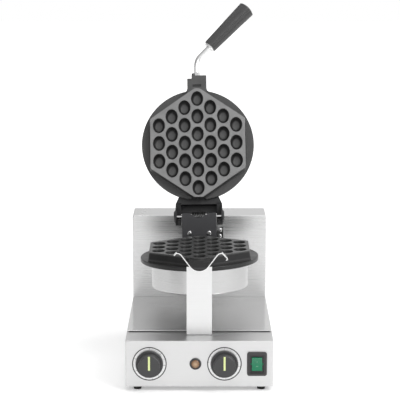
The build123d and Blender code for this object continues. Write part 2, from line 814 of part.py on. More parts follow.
def side_bracket():
    """A bright angle on the block's right side, its face towards the front."""
    top = 12.5
    bottom = -12.0
    web = box(block_half_width, block_half_width + 1.5, bracket_face_y, -26, bottom, top)
    face = box(block_half_width, bracket_right, bracket_face_y, bracket_face_y + 2, bottom, top)
    bracket = web + face
    for screw in bracket_screws():
        bracket -= screw
    return bracket


def bracket_screws():
    return [pan_screw_y(38.6, 6.6, bracket_face_y, 3.2, 2.2, 1.6, 5),
            pan_screw_y(38.0, -4.6, bracket_face_y, 3.2, 2.2, 1.6, 5)]


def front_screws():
    face = block_front_y - cover_thickness
    return [pan_screw_y(x, 2.7, face, 4.0, 2.4, 2.0, 12) for x in (-18.0, 18.0)]


def hinge_screws():
    return Compound(children=front_screws() + bracket_screws() + pad_bolts(-1))


def lock_screws():
    """Short screws that clamp the cheeks round the pin. Their heads face forwards when open."""
    angle = radians(lid_open_angle)
    out = Vector(0, -cos(angle), -sin(angle))
    down = Vector(0, sin(angle), -cos(angle))
    screws = []
    for x in (-lock_screw_x, lock_screw_x):
        seat = Vector(x, pin_y, pin_height) + out * lock_screw_seat + down * lock_screw_drop
        head_plane = Plane(origin=seat, z_dir=out)
        head = extrude(head_plane * Circle(2.8), amount=3.0)
        shank = extrude(head_plane * Circle(1.6), amount=-9.0)
        screws.append(head + shank)
    return screws


def pin_window(side):
    """The room in a cheek that shows the pin from the front when the lid is open."""
    low = min(side * (cheek_inner - 0.1), side * (cheek_outer - 2.5))
    high = max(side * (cheek_inner - 0.1), side * (cheek_outer - 2.5))
    return Pos(0, pin_y, pin_height) * Rot(lid_open_angle, 0, 0) * box(low, high, -30, 0, -3.4, 24)


def hinge_yoke():
    """A ribbed plate bolted behind the upper flange, and two cheeks that reach the pin."""
    pad_low = -flange_bottom
    cheek = Polygon((pad_front_y, pad_low), (-62, pad_low), (-47, 17), (pin_y, pin_height),
                    (pin_y, pin_height + cheek_radius), (roof_back_y, roof_top), (web_front_y, roof_top),
                    (pad_front_y, 36), align=None)
    cheek += Pos(pin_y, pin_height) * Circle(cheek_radius)
    yoke = box(-cheek_inner, cheek_inner, pad_front_y, web_back_y, pad_low, pad_low + pad_thickness)
    yoke += box(-cheek_inner, cheek_inner, web_front_y, web_back_y, pad_low, roof_top)
    yoke += box(-cheek_inner, cheek_inner, web_front_y, roof_back_y, roof_top - roof_thickness, roof_top)
    for rib_x in (-1.0, 4.7):
        yoke += box(rib_x - 0.65, rib_x + 0.65, web_back_y, roof_back_y, roof_top - roof_thickness - 3,
                    roof_top - roof_thickness)
    for side in (-1, 1):
        low = min(side * cheek_inner, side * cheek_outer)
        high = max(side * cheek_inner, side * cheek_outer)
        yoke += profile_x(cheek, low, high)
    plan = Polygon((-36, pad_front_y), (36, pad_front_y), (37.2, -72.1), (42.9, -59.7), (cheek_outer, -42),
                   (cheek_outer, -18), (-cheek_outer, -18), (-cheek_outer, -42), (-42.9, -59.7),
                   (-37.2, -72.1), align=None)
    yoke &= extrude(plan, amount=roof_top + 10)
    for side in (-1, 1):
        boss = Rot(0, side * 90, 0) * Cone(13.0, 9.0, pin_half_length - cheek_outer + 0.5)
        yoke += Pos(side * (pin_half_length + cheek_outer - 0.5) / 2, pin_y, pin_height) * boss
        yoke -= pin_window(side)
    yoke -= bar_x(pin_radius, pin_y, pin_height, -60, 60)
    for screw in lock_screws() + pad_bolts(1):
        yoke -= screw
    return yoke


def hinge_pin():
    pin = bar_x(pin_radius, pin_y, pin_height, -pin_half_length, pin_half_length)
    return chamfer(pin.edges().filter_by(GeomType.CIRCLE), 0.6)


def helix_point(turn):
    angle = 2 * pi * turn
    return Vector(spring_pitch * turn, spring_coil * cos(angle), spring_coil * sin(angle))


def helix_heading(turn):
    angle = 2 * pi * turn
    rise = spring_pitch / (2 * pi)
    return Vector(rise, -spring_coil * sin(angle), spring_coil * cos(angle)).normalized()


def hinge_spring():
    """A torsion spring round the pin, as one tube on pairs of tangent arcs."""
    steps = spring_turns * 4
    arcs = []
    for step in range(steps):
        start, end = helix_point(step / 4), helix_point((step + 1) / 4)
        first, last = helix_heading(step / 4), helix_heading((step + 1) / 4)
        chord = end - start
        spread = 2 * (1 - first.dot(last))
        along = chord.dot(first + last)
        reach = (-along + sqrt(along ** 2 + spread * chord.dot(chord))) / spread
        middle = (start + end + (first - last) * reach) * 0.5
        arcs.append(TangentArc(start, middle, tangent=first))
        arcs.append(TangentArc(middle, end, tangent=arcs[-1] % 1))
    path = Wire(arcs)
    section = Plane(origin=arcs[0] @ 0, z_dir=helix_heading(0)) * Circle(spring_wire)
    coil = sweep(section, path=path)
    print("hinge spring: least gap between turns", round(spring_pitch - 2 * spring_wire, 2), "mm")
    return Pos(-spring_pitch * spring_turns / 2, pin_y, pin_height) * coil


# Handle, in the iron frame with the lid closed

def along_grip(distance):
    """A point on the grip's axis, measured from the rod's corner."""
    angle = radians(handle_angle)
    return Vector(distance * sin(angle), rod_corner_y - distance * cos(angle), rod_height)


def grip_frame(distance):
    angle = radians(handle_angle)
    return Plane(origin=along_grip(distance), x_dir=(0, 0, 1), z_dir=(sin(angle), -cos(angle), 0))


def handle_rod():
    path = FilletPolyline((0, rod_end_y, rod_height), (0, rod_corner_y, rod_height),
                          along_grip(corner_to_grip + rod_in_grip), radius=rod_bend_radius)
    start = Plane(origin=path @ 0, z_dir=path % 0)
    return sweep(start * Circle(rod_radius), path=path)


def handle_nut():
    return hex_nut_y(11.5, 0, rod_height, upper_lug_front_y - handle_nut_height, upper_lug_front_y, rod_radius)


def handle_lock_screw():
    """A round-headed screw beside the rod, driven into the lug's end."""
    head = bar_y(2.0, handle_screw_x, handle_screw_z, upper_lug_front_y - 4.3, upper_lug_front_y)
    head = fillet(head.edges().group_by(Axis.Y)[0], 1.2)
    return head + bar_y(1.6, handle_screw_x, handle_screw_z, upper_lug_front_y, upper_lug_front_y + 8)


def handle_ferrule():
    frame = grip_frame(corner_to_grip - ferrule_thickness)
    return extrude(frame * (Circle(ferrule_radius) - Circle(rod_radius)), amount=ferrule_thickness)


def handle_grip():
    """A grip that widens to a domed end, with four long grooves."""
    slope = atan((grip_tip_radius - grip_base_radius) / grip_length)
    grip = Pos(0, 0, grip_length / 2) * Cone(grip_base_radius, grip_tip_radius, grip_length)
    dome_radius = (grip_tip_radius ** 2 + grip_dome ** 2) / (2 * grip_dome)
    dome_centre = grip_length - dome_radius
    grip &= Pos(0, 0, dome_centre) * Sphere(dome_radius) + bar_z(25.0, 0, 0, -1, dome_centre)
    grip = fillet(grip.edges().group_by(Axis.Z)[0], 0.8)
    cutter = Rot(0, degrees(slope), 0) * Cylinder(groove_radius, 3 * grip_length)
    cutter = Pos(grip_base_radius + groove_radius - groove_depth, 0, 0) * cutter
    for angle in groove_angles:
        grip -= Rot(0, 0, angle) * cutter
    grip -= bar_z(rod_radius, 0, 0, -5, rod_in_grip)
    return grip_frame(corner_to_grip).location * grip


fixed_nodes = {
    "base_housing": base_housing,
    "tray_well": tray_well,
    "bottom_plate": bottom_plate,
    "rubber_feet": rubber_feet,
    "foot_screws": foot_screws,
    "column_shell": column_shell,
    "back_cover": back_cover,
    "back_cover_screws": lambda: Compound(children=cover_screw_list()),
    "drip_tray": drip_tray,
    "front_support": front_support,
    "cradle_spring": cradle_spring,
    "thermostat_dial": lambda: dial(thermostat_x),
    "timer_dial": lambda: dial(timer_x),
    "thermostat_knob": lambda: knob(thermostat_x),
    "timer_knob": lambda: knob(timer_x),
    "thermostat_pointer": lambda: pointer(thermostat_x),
    "timer_pointer": lambda: pointer(timer_x),
    "thermostat_spindle": lambda: spindle(thermostat_x),
    "timer_spindle": lambda: spindle(timer_x),
    "thermostat_body": lambda: control_body(thermostat_x, 19.0, 30.0),
    "timer_body": lambda: control_body(timer_x, 17.0, 36.0),
    "lamp_housing": lamp_housing,
    "lamp_lens": lamp_lens,
    "switch_housing": switch_housing,
    "switch_rocker": switch_rocker,
    "cable_gland": cable_gland,
    "terminal_block": terminal_block,
    "wire_loom": wire_loom,
    "capillary_tube": capillary_tube,
    "shaft_bearing": shaft_bearing,
    "bearing_nut": bearing_nut,
    "stop_block": stop_block,
}

iron_nodes = {
    "swivel_shaft": swivel_shaft,
    "shaft_collar": shaft_collar,
    "lead_cable": lead_cable,
    "hinge_block": hinge_block,
    "hinge_cover": hinge_cover,
    "hinge_screws": hinge_screws,
    "hinge_spring": hinge_spring,
    "side_bracket": side_bracket,
    "lower_plate": lower_plate,
    "lower_drum": drum,
    "lower_heater": heater,
    "lower_heater_clamp": heater_clamp,
    "lower_insulation": insulation,
    "lower_centre_bolt": centre_bolt,
}

lid_nodes = {
    "hinge_yoke": hinge_yoke,
    "hinge_pin": hinge_pin,
    "pin_lock_screws": lambda: Compound(children=lock_screws()),
    "yoke_bolts": lambda: Compound(children=pad_bolts(1) + [handle_lock_screw()]),
    "upper_plate": upper_plate,
    "upper_drum": lambda: mirror(drum(), about=Plane.XY),
    "upper_heater": lambda: mirror(heater(), about=Plane.XY),
    "upper_heater_clamp": lambda: mirror(heater_clamp(), about=Plane.XY),
    "upper_insulation": lambda: mirror(insulation(), about=Plane.XY),
    "upper_centre_bolt": lambda: mirror(centre_bolt(), about=Plane.XY),
    "handle_rod": handle_rod,
    "handle_nut": handle_nut,
    "handle_ferrule": handle_ferrule,
    "handle_grip": handle_grip,
}


def write(name, shape):
    export_step(Pos(0, column_face_y, 0) * shape, "parts/" + name + ".step")


os.makedirs("parts", exist_ok=True)
for name, make in fixed_nodes.items():
    write(name, make())
for name, make in iron_nodes.items():
    write(name, on_iron(make()))
for name, make in lid_nodes.items():
    write(name, on_lid(make()))
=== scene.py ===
# %% [markdown]
# # A rotating bubble waffle maker
# Two cast irons full of oval cups close on each other and turn over on a hollow shaft, so
# that the batter fills both halves. The measured parts arrive ready made; this notebook
# gives every surface its finish, adds the printed scales and marks, and lights the object.

# %%
import math

import bmesh
import bpy
from mathutils import Matrix, Vector


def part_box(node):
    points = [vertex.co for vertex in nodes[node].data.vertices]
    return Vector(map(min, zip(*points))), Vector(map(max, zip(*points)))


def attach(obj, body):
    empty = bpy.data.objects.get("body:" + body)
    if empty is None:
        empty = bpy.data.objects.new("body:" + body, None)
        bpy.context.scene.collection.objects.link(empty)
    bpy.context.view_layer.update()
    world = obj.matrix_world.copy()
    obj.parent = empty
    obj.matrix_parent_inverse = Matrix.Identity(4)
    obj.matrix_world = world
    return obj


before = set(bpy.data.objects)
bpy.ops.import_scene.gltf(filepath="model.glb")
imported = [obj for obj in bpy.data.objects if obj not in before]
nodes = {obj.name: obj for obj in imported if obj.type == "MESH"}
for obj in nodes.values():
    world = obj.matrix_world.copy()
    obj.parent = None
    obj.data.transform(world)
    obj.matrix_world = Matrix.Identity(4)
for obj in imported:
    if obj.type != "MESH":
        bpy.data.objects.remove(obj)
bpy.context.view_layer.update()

# %% [markdown]
# ## The camera
# The photograph was taken from far away with a long lens, a little above the object and
# looking slightly down. A long lens keeps the side walls nearly parallel, so the place of the
# camera matters less than its tilt.

# %%
LENS_MM = 141.8
CAMERA_PLACE = Vector((0.0012, -2.780, 0.752))
CAMERA_TILT_DOWN = math.radians(9.35)

camera_data = bpy.data.cameras.new("camera")
camera_data.lens = LENS_MM
camera_data.sensor_width = 36.0
camera_data.clip_end = 50.0
camera = bpy.data.objects.new("camera", camera_data)
camera.location = CAMERA_PLACE
camera.rotation_euler = (math.pi / 2 - CAMERA_TILT_DOWN, 0, 0)
bpy.context.scene.collection.objects.link(camera)
bpy.context.scene.camera = camera
bpy.context.scene.view_settings.view_transform = "Standard"
print("camera at", tuple(CAMERA_PLACE), "with a lens of", LENS_MM, "mm")

# %% [markdown]
# ## A small kit for materials
# Every finish here starts as a Principled shader. What varies over a surface, such as brush
# lines or the grain of a casting, comes from noise read on Object coordinates, so it stays
# where it is when the part moves. What doesn't vary is set on the shader's own sockets.

# %%
def new_material(name, colour, metallic, roughness):
    """A material with a Principled shader; returns it, its node tree and the shader."""
    material = bpy.data.materials.new(name)
    material.use_nodes = True
    tree = material.node_tree
    shader = tree.nodes["Principled BSDF"]
    shader.inputs["Base Color"].default_value = (*colour, 1)
    shader.inputs["Metallic"].default_value = metallic
    shader.inputs["Roughness"].default_value = roughness
    material.diffuse_color = (*colour, 1)
    return material, tree, shader


def stretched_noise(tree, stretch, detail=3.0):
    """Noise on Object coordinates, scaled separately along X, Y and Z, in turns per metre."""
    place = tree.nodes.new("ShaderNodeTexCoord")
    mapping = tree.nodes.new("ShaderNodeMapping")
    mapping.inputs["Scale"].default_value = stretch
    noise = tree.nodes.new("ShaderNodeTexNoise")
    noise.inputs["Scale"].default_value = 1.0
    noise.inputs["Detail"].default_value = detail
    tree.links.new(place.outputs["Object"], mapping.inputs["Vector"])
    tree.links.new(mapping.outputs["Vector"], noise.inputs["Vector"])
    return noise.outputs["Fac"]


def spread(tree, value, low, high):
    """Turns noise, which mostly lies from 0.3 to 0.7, into a range of numbers."""
    node = tree.nodes.new("ShaderNodeMapRange")
    node.inputs["From Min"].default_value = 0.3
    node.inputs["From Max"].default_value = 0.7
    node.inputs["To Min"].default_value = low
    node.inputs["To Max"].default_value = high
    tree.links.new(value, node.inputs["Value"])
    return node.outputs["Result"]


def blend_colours(tree, value, first, second):
    """A colour ramp between two colours over the middle of the noise."""
    ramp = tree.nodes.new("ShaderNodeValToRGB")
    ramp.color_ramp.elements[0].position = 0.3
    ramp.color_ramp.elements[1].position = 0.7
    ramp.color_ramp.elements[0].color = (*first, 1)
    ramp.color_ramp.elements[1].color = (*second, 1)
    tree.links.new(value, ramp.inputs["Fac"])
    return ramp.outputs["Color"]


def raise_bump(tree, shader, value, strength, depth):
    """Bump from a value: depth in metres is the height of a full step."""
    bump = tree.nodes.new("ShaderNodeBump")
    bump.inputs["Strength"].default_value = strength
    bump.inputs["Distance"].default_value = depth
    tree.links.new(value, bump.inputs["Height"])
    tree.links.new(bump.outputs["Normal"], shader.inputs["Normal"])


finished = set()


def finish_node(name, material):
    """Gives a carried-over node one material, and notes that it has one."""
    mesh = nodes[name].data
    mesh.materials.clear()
    mesh.materials.append(material)
    finished.add(name)


# %% [markdown]
# ## Brushed stainless steel
# Sheet steel is ground with a belt, which leaves fine lines all one way. The lines are noise
# that is stretched a few hundred times across the grain. They vary the roughness, so that
# reflections smear along them, and tint the metal a very little.

# %%
def brushed_steel(name, colour, roughness, stretch, depth=0.00002, spread_by=0.06):
    material, tree, shader = new_material(name, colour, 1.0, roughness)
    lines = stretched_noise(tree, stretch, 4.0)
    darker = tuple(c * 0.95 for c in colour)
    tree.links.new(blend_colours(tree, lines, darker, colour), shader.inputs["Base Color"])
    rough = spread(tree, lines, roughness - spread_by, roughness + spread_by)
    tree.links.new(rough, shader.inputs["Roughness"])
    raise_bump(tree, shader, lines, 0.25, depth)
    return material


ALONG_X = (4.0, 900.0, 900.0)
LEVEL_LINES = (4.0, 4.0, 2600.0)
ROUND_LINES = (3.0, 3.0, 2600.0)
housing_steel = brushed_steel("housing_steel", (0.72, 0.72, 0.72), 0.36, LEVEL_LINES)
column_steel = brushed_steel("column_steel", (0.74, 0.74, 0.74), 0.30, LEVEL_LINES)
deck_steel = brushed_steel("deck_steel", (0.78, 0.78, 0.78), 0.16, ALONG_X, spread_by=0.04)
strap_steel = brushed_steel("strap_steel", (0.84, 0.84, 0.84), 0.38, LEVEL_LINES)
drum_steel = brushed_steel("drum_steel", (0.56, 0.56, 0.56), 0.24, ROUND_LINES)
plain_steel = brushed_steel("plain_steel", (0.50, 0.50, 0.50), 0.38, LEVEL_LINES)
# A dark steel. On the tray's well it is painted shade, standing for the shadow in the gap under the tray's
# lip. The hinge spring takes it too.
dark_steel_and_painted_shade = brushed_steel("dark_steel_and_painted_shade", (0.10, 0.10, 0.10), 0.45, LEVEL_LINES)
zinc = brushed_steel("zinc", (0.60, 0.60, 0.61), 0.32, (60.0, 60.0, 60.0))
bright_steel = brushed_steel("bright_steel", (0.84, 0.84, 0.84), 0.12, (80.0, 80.0, 80.0), spread_by=0.03)

finish_node("base_housing", housing_steel)
for name in ("column_shell", "back_cover"):
    finish_node(name, column_steel)
for name in ("lower_drum", "upper_drum"):
    finish_node(name, drum_steel)
for name in ("bottom_plate", "swivel_shaft", "lower_heater_clamp", "upper_heater_clamp"):
    finish_node(name, plain_steel)
# The tray's well is painted dark as shade in the gap under the tray. The hinge spring shares the same dark
# steel.
for name in ("tray_well", "hinge_spring"):
    finish_node(name, dark_steel_and_painted_shade)
for name in ("foot_screws", "back_cover_screws", "thermostat_spindle", "timer_spindle",
             "bearing_nut", "stop_block", "shaft_collar"):
    finish_node(name, zinc)
for name in ("cradle_spring", "hinge_screws", "side_bracket", "hinge_pin", "handle_rod",
             "handle_nut", "handle_ferrule", "lower_centre_bolt", "upper_centre_bolt"):
    finish_node(name, bright_steel)
finish_node("drip_tray", deck_steel)
finish_node("front_support", strap_steel)
print("steel and zinc nodes finished:", len(finished))

# %% [markdown]
# ## Cast aluminium with a non-stick coat
# The irons are sand cast, ground on their faces and sprayed with a charcoal coat. Shade is
# painted into the coat by depth: the lands between the cups keep the palest grey, the steep
# walls are painted dark as shade in the hollows, a flat cup floor is painted paler again as
# painted light, and the flange behind the raised face is painted darker as shade. So the
# colour follows the depth below the face: a dot product with the face's own direction gives
# that depth, and a ramp turns it into these painted shades. The upper iron's greys are paler
# than the lower's, as a lit and a shaded copy of one coat. A cloud of noise and a fine
# orange-peel go over it.

# %%
IRON_ROLL = math.radians(-1.0)
LID_ANGLE = math.radians(110.0)
AXIS_HEIGHT = 0.219
PIN_PLACE = Vector((-0.00052, 0.087, 0.248995))
PIN_ABOVE_FACE = 0.030
DEPTH_RANGE = 0.020
lower_inward = Vector((-math.sin(IRON_ROLL), 0, -math.cos(IRON_ROLL)))
upper_inward = Matrix.Rotation(IRON_ROLL, 3, "Y") @ Matrix.Rotation(-LID_ANGLE, 3, "X") @ Vector((0, 0, 1))
lower_offset = AXIS_HEIGHT
upper_offset = PIN_ABOVE_FACE - upper_inward.dot(PIN_PLACE)


def face_depth(tree, inward, offset):
    """The depth below an iron's face as a share of DEPTH_RANGE."""
    place = tree.nodes.new("ShaderNodeTexCoord")
    along = tree.nodes.new("ShaderNodeVectorMath")
    along.operation = "DOT_PRODUCT"
    along.inputs[1].default_value = inward
    share = tree.nodes.new("ShaderNodeMapRange")
    share.inputs["From Min"].default_value = -offset
    share.inputs["From Max"].default_value = DEPTH_RANGE - offset
    tree.links.new(place.outputs["Object"], along.inputs[0])
    tree.links.new(along.outputs["Value"], share.inputs["Value"])
    return share.outputs["Result"]


def depth_shade_colours(tree, depth, land, wall, floor, flange):
    """Painted shade by depth: pale land to 1 mm, dark wall from 3.2 to 11.6 mm, paler cup floor at 13 to
    14 mm as painted light, darker flange from 16 mm.
    """
    ramp = tree.nodes.new("ShaderNodeValToRGB")
    # The dark wall grey is painted shade in the hollows, the paler floor grey is painted light, and the
    # darker flange grey is painted shade behind the raised face.
    stops = [(0.0, land), (0.05, land), (0.16, wall), (0.58, wall), (0.65, floor), (0.70, floor),
             (0.80, flange), (1.0, flange)]
    ramp.color_ramp.elements[0].color = (land, land, land, 1)
    ramp.color_ramp.elements[1].color = (flange, flange, flange, 1)
    for place, grey in stops[1:-1]:
        stop = ramp.color_ramp.elements.new(place)
        stop.color = (grey, grey, grey, 1)
    tree.links.new(depth, ramp.inputs["Fac"])
    return ramp.outputs["Color"]


def coated_casting_painted_shade(name, greys, roughness, inward, offset):
    material, tree, shader = new_material(name, (greys[0],) * 3, 0.25, roughness)
    cloud = stretched_noise(tree, (45.0, 45.0, 45.0), 6.0)
    depth = face_depth(tree, inward, offset)
    mix = tree.nodes.new("ShaderNodeMix")
    mix.data_type = "RGBA"
    mix.blend_type = "MULTIPLY"
    mix.inputs["Factor"].default_value = 1.0
    tree.links.new(depth_shade_colours(tree, depth, *greys), mix.inputs["A"])
    tree.links.new(blend_colours(tree, cloud, (0.82,) * 3, (1.0,) * 3), mix.inputs["B"])
    tree.links.new(mix.outputs["Result"], shader.inputs["Base Color"])
    tree.links.new(spread(tree, cloud, roughness - 0.06, roughness + 0.06), shader.inputs["Roughness"])
    peel = stretched_noise(tree, (1500.0, 1500.0, 1500.0), 2.0)
    raise_bump(tree, shader, peel, 0.35, 0.00012)
    return material


# The paler greys of the upper iron and the darker greys of the lower iron are a lit and a shaded copy of
# one coat. Each carries painted shade by depth.
UPPER_LIT_COPY_GREYS = (0.25, 0.03, 0.13, 0.075)
LOWER_SHADED_COPY_GREYS = (0.075, 0.012, 0.04, 0.022)
upper_coat_lit_copy_depth_shade = coated_casting_painted_shade("upper_coat_lit_copy_depth_shade", UPPER_LIT_COPY_GREYS, 0.46, upper_inward, upper_offset)
lower_coat_shaded_copy_depth_shade = coated_casting_painted_shade("lower_coat_shaded_copy_depth_shade", LOWER_SHADED_COPY_GREYS, 0.34, lower_inward, lower_offset)
finish_node("upper_plate", upper_coat_lit_copy_depth_shade)
finish_node("lower_plate", lower_coat_shaded_copy_depth_shade)
print("offsets of the faces along their own depth:", round(lower_offset, 4), round(upper_offset, 4))

# %% [markdown]
# ## Enamel, plastics and rubber
# The hinge is black enamel over cast iron, with a slight ripple. Knobs and grip are moulded
# with a fine spark-eroded grain, which the bump gives. The bearing's bronze, the copper tube
# and the heater's sheath have no brush lines, so they take the same recipe as metals.

# %%
def moulded(name, colour, roughness, grain=2200.0, depth=0.00006, coat=0.0, metallic=0.0):
    """A finish with a fine even grain, and a clear coat or metal where it is asked for."""
    material, tree, shader = new_material(name, colour, metallic, roughness)
    speck = stretched_noise(tree, (grain, grain, grain), 2.0)
    paler = tuple(min(1.0, c * 1.25 + 0.004) for c in colour)
    tree.links.new(blend_colours(tree, speck, colour, paler), shader.inputs["Base Color"])
    raise_bump(tree, shader, speck, 0.2, depth)
    shader.inputs["Coat Weight"].default_value = coat
    shader.inputs["Coat Roughness"].default_value = 0.2
    return material


hinge_black = moulded("hinge_black", (0.012, 0.012, 0.013), 0.42, grain=500.0)
cover_grey = moulded("cover_grey", (0.045, 0.045, 0.048), 0.45, grain=900.0)
knob_plastic = moulded("knob_plastic", (0.040, 0.040, 0.041), 0.38)
grip_plastic = moulded("grip_plastic", (0.045, 0.045, 0.045), 0.36)
black_plastic = moulded("black_plastic", (0.035, 0.033, 0.034), 0.34)
pointer_pale = moulded("pointer_pale", (0.70, 0.78, 0.36), 0.4)
foot_rubber = moulded("foot_rubber", (0.012, 0.012, 0.012), 0.7, grain=700.0)
cable_black = moulded("cable_black", (0.015, 0.015, 0.015), 0.5)
screw_black = moulded("screw_black", (0.02, 0.02, 0.02), 0.4)
board_white = moulded("board_white", (0.72, 0.70, 0.65), 0.85, grain=300.0, depth=0.0003)
rocker_green = moulded("rocker_green", (0.0, 0.17, 0.075), 0.25, coat=0.5)
bronze = moulded("bronze", (0.45, 0.28, 0.10), 0.35, metallic=1.0)
heater_sheath = moulded("heater_sheath", (0.10, 0.09, 0.085), 0.5, metallic=0.8)
copper = moulded("copper", (0.60, 0.28, 0.15), 0.3, metallic=1.0)

for name in ("hinge_block", "hinge_yoke"):
    finish_node(name, hinge_black)
finish_node("hinge_cover", cover_grey)
for name in ("thermostat_knob", "timer_knob"):
    finish_node(name, knob_plastic)
for name in ("thermostat_pointer", "timer_pointer"):
    finish_node(name, pointer_pale)
for name in ("thermostat_body", "timer_body", "lamp_housing", "switch_housing", "cable_gland"):
    finish_node(name, black_plastic)
for name in ("terminal_block", "lower_insulation", "upper_insulation"):
    finish_node(name, board_white)
for name in ("wire_loom", "lead_cable"):
    finish_node(name, cable_black)
for name in ("lower_heater", "upper_heater"):
    finish_node(name, heater_sheath)
finish_node("handle_grip", grip_plastic)
finish_node("rubber_feet", foot_rubber)
finish_node("yoke_bolts", screw_black)
finish_node("pin_lock_screws", screw_black)
finish_node("switch_rocker", rocker_green)
finish_node("shaft_bearing", bronze)
finish_node("capillary_tube", copper)

# %% [markdown]
# ## The pilot lamp's lens
# The lens is amber plastic over a small reflector. It isn't lit. Its middle carries a painted
# highlight, paler than its rim, so the colour follows the distance from the lens's axis.

# %%
# The middle colour is a painted highlight. The rim colour is the lens's own amber.
LENS_PAINTED_HIGHLIGHT = (0.62, 0.42, 0.25)
LENS_RIM = (0.16, 0.065, 0.02)
HIGHLIGHT_RADIUS = 0.0015
HIGHLIGHT_FADE_RADIUS = 0.0055


def amber_lens_painted_highlight():
    """Amber with a painted highlight in its middle, fading into the rim's amber between the two radii,
    under a clear coat.
    """
    material, tree, shader = new_material("amber_lens_painted_highlight", (0.45, 0.16, 0.04), 0.0, 0.18)
    low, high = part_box("lamp_lens")
    middle = (low + high) / 2
    place = tree.nodes.new("ShaderNodeTexCoord")
    mapping = tree.nodes.new("ShaderNodeMapping")
    mapping.inputs["Location"].default_value = [-c for c in middle]
    length = tree.nodes.new("ShaderNodeVectorMath")
    length.operation = "LENGTH"
    ramp = tree.nodes.new("ShaderNodeValToRGB")
    ramp.color_ramp.elements[0].position = HIGHLIGHT_RADIUS
    ramp.color_ramp.elements[0].color = (*LENS_PAINTED_HIGHLIGHT, 1)
    ramp.color_ramp.elements[1].position = HIGHLIGHT_FADE_RADIUS
    ramp.color_ramp.elements[1].color = (*LENS_RIM, 1)
    tree.links.new(place.outputs["Object"], mapping.inputs["Vector"])
    tree.links.new(mapping.outputs["Vector"], length.inputs[0])
    tree.links.new(length.outputs["Value"], ramp.inputs["Fac"])
    tree.links.new(ramp.outputs["Color"], shader.inputs["Base Color"])
    shader.inputs["Coat Weight"].default_value = 0.6
    return material


finish_node("lamp_lens", amber_lens_painted_highlight())

# %% [markdown]
# ## The dials
# Each dial is a satin aluminium disc with a dark printed ring, ticks and plain numbers. The
# print is thin ink, so each mark is a flat piece of mesh that stands a few hundredths of a
# millimetre proud of the disc.

# %%
dial_silver = brushed_steel("dial_silver", (0.84, 0.84, 0.84), 0.42, (700.0, 5.0, 700.0))
ink = moulded("ink", (0.022, 0.022, 0.024), 0.5)
for name in ("thermostat_dial", "timer_dial"):
    finish_node(name, dial_silver)

INK_PROUD = 0.00006
RING_WIDTH = 0.0018
RING_INSET = 0.00005
TICK_LENGTH = 0.0014
TICK_WIDTH = 0.0004
NUMBER_HEIGHT = 0.0027
DIGIT_SHARE = 0.62
FONT_SIZE_PER_HEIGHT = 1.4
THERMOSTAT_SWEEP = 290
TIMER_SWEEP = 300


def mesh_object(name, bm, material, body):
    """Makes a finished piece from a bmesh, with its place in its mesh, riding on a body."""
    mesh = bpy.data.meshes.new(name)
    bm.to_mesh(mesh)
    bm.free()
    mesh.materials.append(material)
    piece = bpy.data.objects.new(name, mesh)
    bpy.context.scene.collection.objects.link(piece)
    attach(piece, body)
    return piece


def flat_ring(bm, inner, outer, steps=96):
    """A flat ring in the XZ plane, spun from one edge."""
    start = bm.verts.new((inner, 0, 0))
    end = bm.verts.new((outer, 0, 0))
    edge = bm.edges.new((start, end))
    bmesh.ops.spin(bm, geom=[start, end, edge], cent=(0, 0, 0), axis=(0, 1, 0), dvec=(0, 0, 0),
                   angle=2 * math.pi, steps=steps, use_merge=True)


def flat_bar(bm, width, low, high, turn):
    """A flat tick from radius low to high, turned clockwise from the top by an angle."""
    bar = bmesh.ops.create_grid(bm, x_segments=1, y_segments=1, size=0.5)
    verts = bar["verts"]
    bmesh.ops.scale(bm, vec=(width, high - low, 1), verts=verts)
    bmesh.ops.rotate(bm, cent=(0, 0, 0), matrix=Matrix.Rotation(math.pi / 2, 3, "X"), verts=verts)
    bmesh.ops.translate(bm, vec=(0, 0, (low + high) / 2), verts=verts)
    bmesh.ops.rotate(bm, cent=(0, 0, 0), matrix=Matrix.Rotation(turn, 3, "Y"), verts=verts)


def number_mesh(text, height):
    """Plain digits as a flat mesh, centred, standing in the XZ plane and facing -Y."""
    curve = bpy.data.curves.new("digits", "FONT")
    curve.body = text
    curve.size = height * FONT_SIZE_PER_HEIGHT
    curve.align_x = "CENTER"
    curve.align_y = "CENTER"
    holder = bpy.data.objects.new("digits", curve)
    bpy.context.scene.collection.objects.link(holder)
    bpy.context.view_layer.update()
    mesh = bpy.data.meshes.new_from_object(holder.evaluated_get(bpy.context.evaluated_depsgraph_get()))
    bpy.data.objects.remove(holder)
    mesh.transform(Matrix.Rotation(math.pi / 2, 4, "X"))
    return mesh


def dial_print(name, dial_node, numbers, sweep_degrees):
    """The ring, ticks and numbers of one dial, clockwise from the top."""
    low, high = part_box(dial_node)
    centre = Vector(((low.x + high.x) / 2, low.y - INK_PROUD, (low.z + high.z) / 2))
    radius = (high.x - low.x) / 2
    bm = bmesh.new()
    flat_ring(bm, radius - RING_WIDTH, radius - RING_INSET)
    ticks = (len(numbers) - 1) * 2 + 1
    for tick in range(ticks):
        turn = math.radians(sweep_degrees) * tick / (ticks - 1)
        flat_bar(bm, TICK_WIDTH, radius - RING_WIDTH - TICK_LENGTH, radius - RING_WIDTH, turn)
    bmesh.ops.translate(bm, vec=centre, verts=bm.verts)
    for index, text in enumerate(numbers):
        turn = math.radians(sweep_degrees) * index / (len(numbers) - 1)
        away = radius - RING_WIDTH - TICK_LENGTH - NUMBER_HEIGHT * DIGIT_SHARE
        spot = centre + Vector((math.sin(turn) * away, 0, math.cos(turn) * away))
        mesh = number_mesh(text, NUMBER_HEIGHT * DIGIT_SHARE)
        mesh.transform(Matrix.Translation(spot))
        bm.from_mesh(mesh)
        bpy.data.meshes.remove(mesh)
    bmesh.ops.recalc_face_normals(bm, faces=bm.faces)
    for face in bm.faces:
        if face.normal.y > 0:
            face.normal_flip()
    piece = mesh_object(name, bm, ink, "base")
    print(name, "on a dial of radius", round(radius * 1000, 1), "mm, with", ticks, "ticks")


